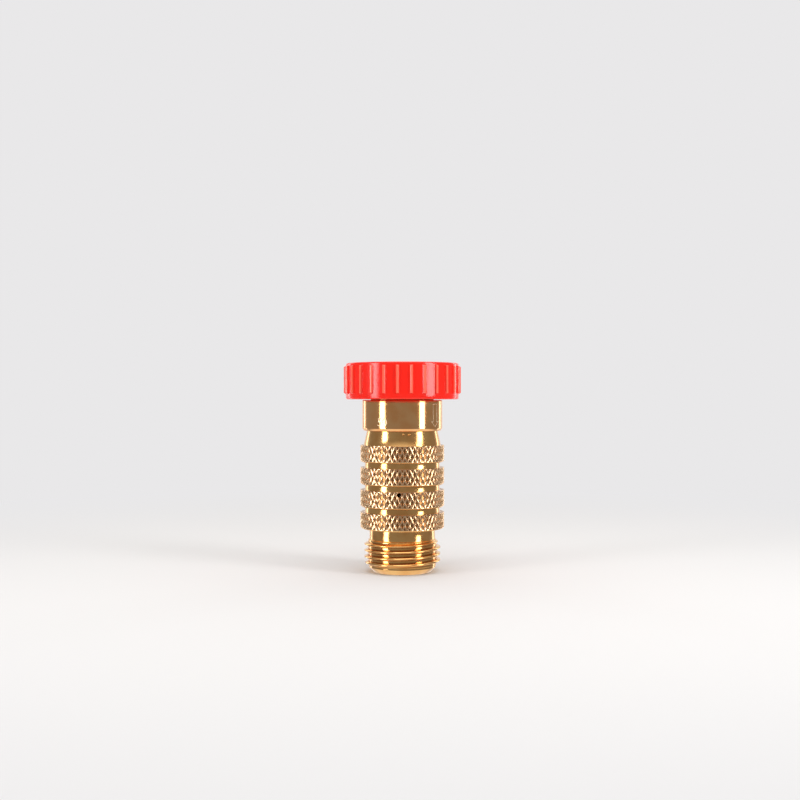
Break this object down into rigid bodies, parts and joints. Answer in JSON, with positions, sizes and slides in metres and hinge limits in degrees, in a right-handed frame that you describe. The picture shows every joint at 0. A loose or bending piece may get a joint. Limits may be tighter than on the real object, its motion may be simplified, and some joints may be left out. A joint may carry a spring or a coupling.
{
  "type": "water pressure regulator",
  "caption": "In-line brass water pressure regulator with a ribbed plastic swivel hose nut, a knurled body and a male hose thread.",
  "frame": {"origin": "centre of the outlet end face", "axes": "+Z along the common axis, from the outlet end towards the inlet swivel nut; -Y is the front, where the vent hole is"},
  "size_m": [0.0414, 0.0414, 0.0735],
  "materials": {
    "brass": "turned, satin",
    "nut_plastic": "moulded, glossy",
    "stainless": "satin",
    "spring_steel": "drawn wire",
    "acetal": "turned",
    "washer_rubber": "moulded",
    "seal_rubber": "moulded"
  },
  "bodies": {
    "regulator": {"housing": "brass", "inlet_body": "brass", "nut_retaining_ring": "stainless", "hose_washer": "washer_rubber", "screen_disc": "stainless", "screen_rim": "stainless", "seat_holder": "brass", "seat_disc": "seal_rubber", "seat_washer": "stainless", "seat_screw": "brass", "guide_bush": "acetal", "bush_o_ring": "seal_rubber", "stem_o_ring": "seal_rubber", "body_o_ring": "seal_rubber", "spring_upper_washer": "stainless", "spring": "spring_steel"},
    "nut": {"swivel_nut": "nut_plastic"},
    "piston": {"piston": "brass", "head_o_ring": "seal_rubber", "spring_lower_washer": "stainless"}
  },
  "joints": [
    {"name": "nut_spin", "type": "hinge", "parent": "regulator", "child": "nut", "pos_m": [0, 0, 0.067], "axis": [0, 0, 1], "continuous": true},
    {"name": "piston_slide", "type": "slide", "parent": "regulator", "child": "piston", "axis": [0, 0, 1], "range_m": [0, 0.0025], "stiffness_N_per_m": 14000, "deforming": ["spring"]}
  ]
}
